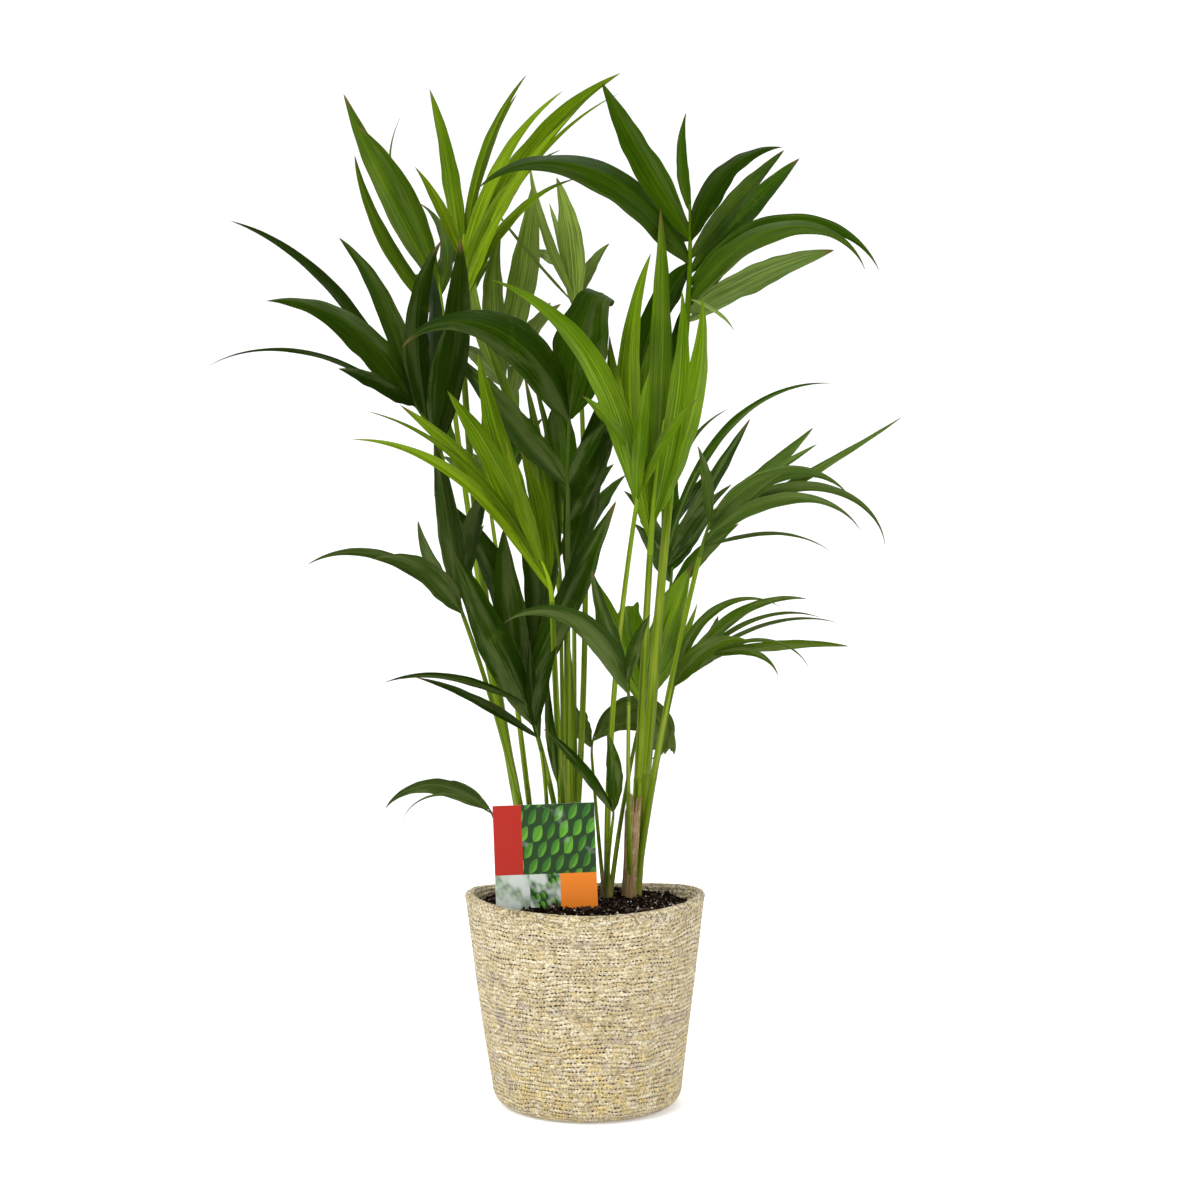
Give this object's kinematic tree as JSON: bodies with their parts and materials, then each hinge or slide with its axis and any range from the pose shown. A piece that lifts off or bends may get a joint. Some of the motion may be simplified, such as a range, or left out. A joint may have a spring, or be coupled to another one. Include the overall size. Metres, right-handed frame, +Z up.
{
  "type": "potted kentia palm",
  "caption": "Clump of upright kentia palm fronds on slender stalks, growing from potting mix in a tapered round woven basket, with an unlettered care tag.",
  "frame": {"origin": "centre of the basket's flat underside, on the surface the pot stands on", "axes": "+Z up the plant, +X to the right as seen from the front, -Y to the front, where the care tag stands"},
  "size_m": [0.6598, 0.5467, 1.088],
  "materials": {
    "basket": "coarse coiled seagrass, matt",
    "potting_mix": "dark moist peat mix with pale grit",
    "care_tag": "printed card, plain colour blocks, no lettering",
    "stem": "smooth sheaths with brown fibres at the foot",
    "petiole": "smooth, light green",
    "frond_mature": "satin leaf, dark green",
    "frond_dark": "satin leaf, deepest green",
    "frond_mid": "satin leaf, middle green",
    "frond_gold": "satin leaf, yellow-green",
    "frond_young": "satin leaf, fresh light green",
    "frond_pale": "satin leaf, pale green"
  },
  "bodies": {
    "root": {"basket": "basket", "potting_mix": "potting_mix", "care_tag": "care_tag", "stem_a": "stem", "stem_b": "stem", "stem_c": "stem", "stem_d": "stem", "petiole_top_right": "petiole", "frond_top_right": "frond_mature", "petiole_young_front": "petiole", "frond_young_front": "frond_young", "petiole_long_left": "petiole", "frond_long_left": "frond_young", "petiole_pale_back": "petiole", "frond_pale_back": "frond_pale", "petiole_gold_top": "petiole", "frond_gold_top": "frond_gold", "petiole_mid_back_left": "petiole", "frond_mid_back_left": "frond_mid", "petiole_left_mature": "petiole", "frond_left_mature": "frond_dark", "petiole_centre_mature": "petiole", "frond_centre_mature": "frond_dark", "petiole_bright_left": "petiole", "frond_bright_left": "frond_gold", "petiole_thin_mid": "petiole", "frond_thin_mid": "frond_mid", "petiole_left_low": "petiole", "frond_left_low": "frond_dark", "petiole_hang_left": "petiole", "frond_hang_left": "frond_dark", "petiole_fan_centre": "petiole", "frond_fan_centre": "frond_dark", "petiole_cross_front": "petiole", "frond_cross_front": "frond_dark", "petiole_right_back": "petiole", "frond_right_back": "frond_mid", "petiole_right_arch": "petiole", "frond_right_arch": "frond_mature", "petiole_right_low": "petiole", "frond_right_low": "frond_dark", "petiole_pale_low": "petiole", "frond_pale_low": "frond_pale", "petiole_low_back": "petiole", "frond_low_back": "frond_dark", "petiole_low_front": "petiole", "frond_low_front": "frond_dark", "petiole_tag_side": "petiole", "frond_tag_side": "frond_dark", "petiole_broad_back": "petiole", "frond_broad_back": "frond_mid", "petiole_dark_spear": "petiole", "frond_dark_spear": "frond_dark", "petiole_far_left": "petiole", "frond_far_left": "frond_mature", "petiole_far_centre": "petiole", "frond_far_centre": "frond_mature", "petiole_far_right": "petiole", "frond_far_right": "frond_mature"}
  },
  "joints": []
}
